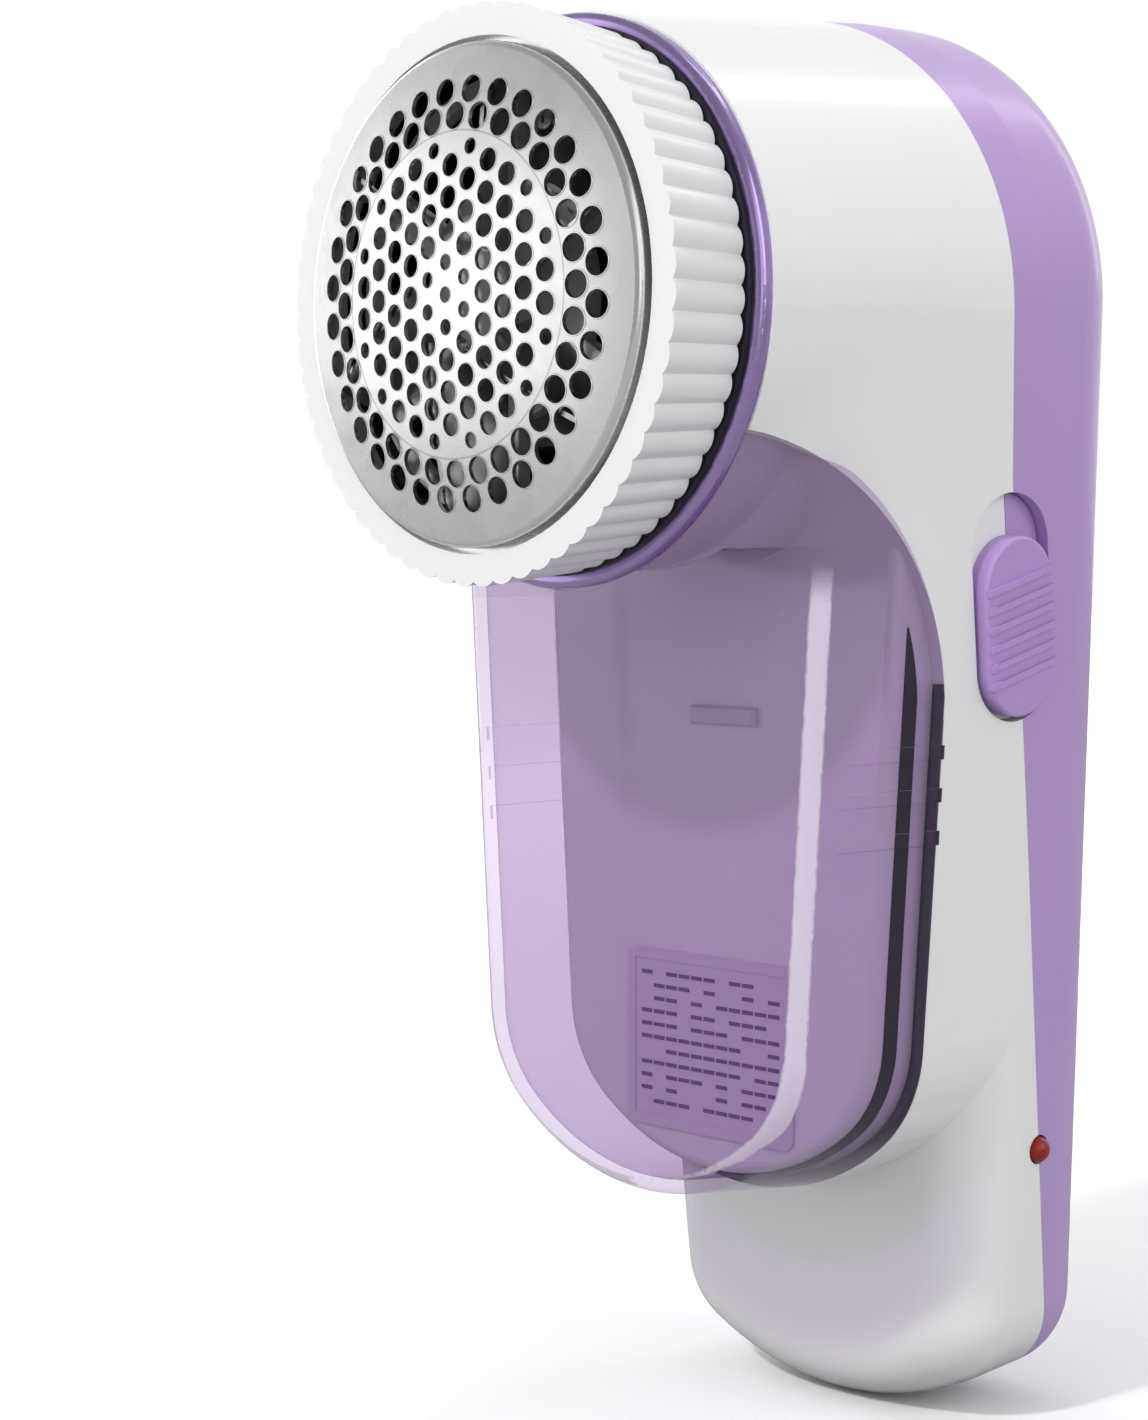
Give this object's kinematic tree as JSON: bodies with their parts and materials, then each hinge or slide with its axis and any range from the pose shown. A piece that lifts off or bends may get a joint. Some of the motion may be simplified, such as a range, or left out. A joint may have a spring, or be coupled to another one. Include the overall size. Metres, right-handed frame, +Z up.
{
  "type": "fabric shaver",
  "caption": "Hand-held fabric shaver with a perforated round foil in a knurled lock ring, spinning blades, a slide-off clear lint bin and a thumb slider on the side.",
  "frame": {"origin": "middle of the foot, under the centre of the bounding box", "axes": "-Y the way the shaving foil faces, +X to the side with the power slider, +Z up along the handle to the head"},
  "size_m": [0.0624, 0.0778, 0.1559],
  "materials": {
    "shell_white": "pearly gloss",
    "shell_lilac": "gloss",
    "trim_violet": "metallic",
    "seal_black": "matt",
    "ring_white": "satin",
    "foil_steel": "polished",
    "clamp_white": "satin",
    "chamber_black": "matt",
    "cutter_white": "satin",
    "hub_grey": "satin",
    "blade_steel": "ground",
    "bin_clear": "clear tinted",
    "catch_white": "gloss",
    "plate_silver": "satin",
    "slider_lilac": "satin",
    "switch_black": "matt",
    "board_green": "satin",
    "led_red": "clear tinted",
    "cell_wrap": "wrapped",
    "tab_nickel": "bright",
    "socket_steel": "bright",
    "motor_steel": "zinc plated",
    "motor_core": "laminated",
    "motor_magnet": "matt",
    "motor_bronze": "plain",
    "motor_cap": "matt",
    "sleeve_rubber": "matt",
    "screw_steel": "zinc plated"
  },
  "bodies": {
    "housing": {"front_shell": "shell_white", "rear_shell": "shell_lilac", "switch_guide": "shell_lilac", "trim_ring": "trim_violet", "seal_ring": "seal_black", "bin_gasket": "seal_black", "cutter_chamber": "chamber_black", "lint_chute": "chamber_black", "bin_catch": "catch_white", "rating_plate": "plate_silver", "slide_switch": "switch_black", "led_holder": "switch_black", "socket_tongue": "switch_black", "control_board": "board_green", "charge_board": "board_green", "charge_led": "led_red", "battery_cell": "cell_wrap", "battery_tab_top": "tab_nickel", "battery_tab_bottom": "tab_nickel", "charging_socket": "socket_steel", "motor_can": "motor_steel", "motor_magnet_upper": "motor_magnet", "motor_magnet_lower": "motor_magnet", "motor_bush_front": "motor_bronze", "motor_bush_rear": "motor_bronze", "motor_end_cap": "motor_cap", "motor_sleeve": "sleeve_rubber", "chamber_screw_1": "screw_steel", "chamber_screw_2": "screw_steel", "chamber_screw_3": "screw_steel", "motor_screw_1": "screw_steel", "motor_screw_2": "screw_steel", "housing_screw_1": "screw_steel", "housing_screw_2": "screw_steel", "housing_screw_3": "screw_steel", "housing_screw_4": "screw_steel"},
    "foil_cap": {"lock_ring": "ring_white", "shaving_foil": "foil_steel", "foil_clamp_ring": "clamp_white"},
    "cutter": {"cutter_carrier": "cutter_white", "drive_hub": "hub_grey", "motor_shaft": "motor_steel", "motor_rotor": "motor_core", "cutter_blade_1": "blade_steel", "cutter_blade_2": "blade_steel", "cutter_blade_3": "blade_steel", "cutter_blade_4": "blade_steel", "cutter_blade_5": "blade_steel", "cutter_blade_6": "blade_steel"},
    "bin": {"lint_bin": "bin_clear"},
    "slider": {"power_slider": "slider_lilac", "switch_lever": "switch_black"}
  },
  "joints": [
    {"name": "foil_cap_twist", "type": "hinge", "parent": "housing", "child": "foil_cap", "pos_m": [0, -0.03716, 0.1227], "axis": [0, -1, 0], "range_deg": [0, 25]},
    {"name": "cutter_spin", "type": "hinge", "parent": "housing", "child": "cutter", "pos_m": [0, -0.03716, 0.1227], "axis": [0, -1, 0], "continuous": true},
    {"name": "bin_slide", "type": "slide", "parent": "housing", "child": "bin", "axis": [0, 0, -1], "range_m": [0, 0.07]},
    {"name": "switch_slide", "type": "slide", "parent": "housing", "child": "slider", "axis": [0.0698, -0.1574, 0.9851], "range_m": [0, 0.0042]}
  ]
}
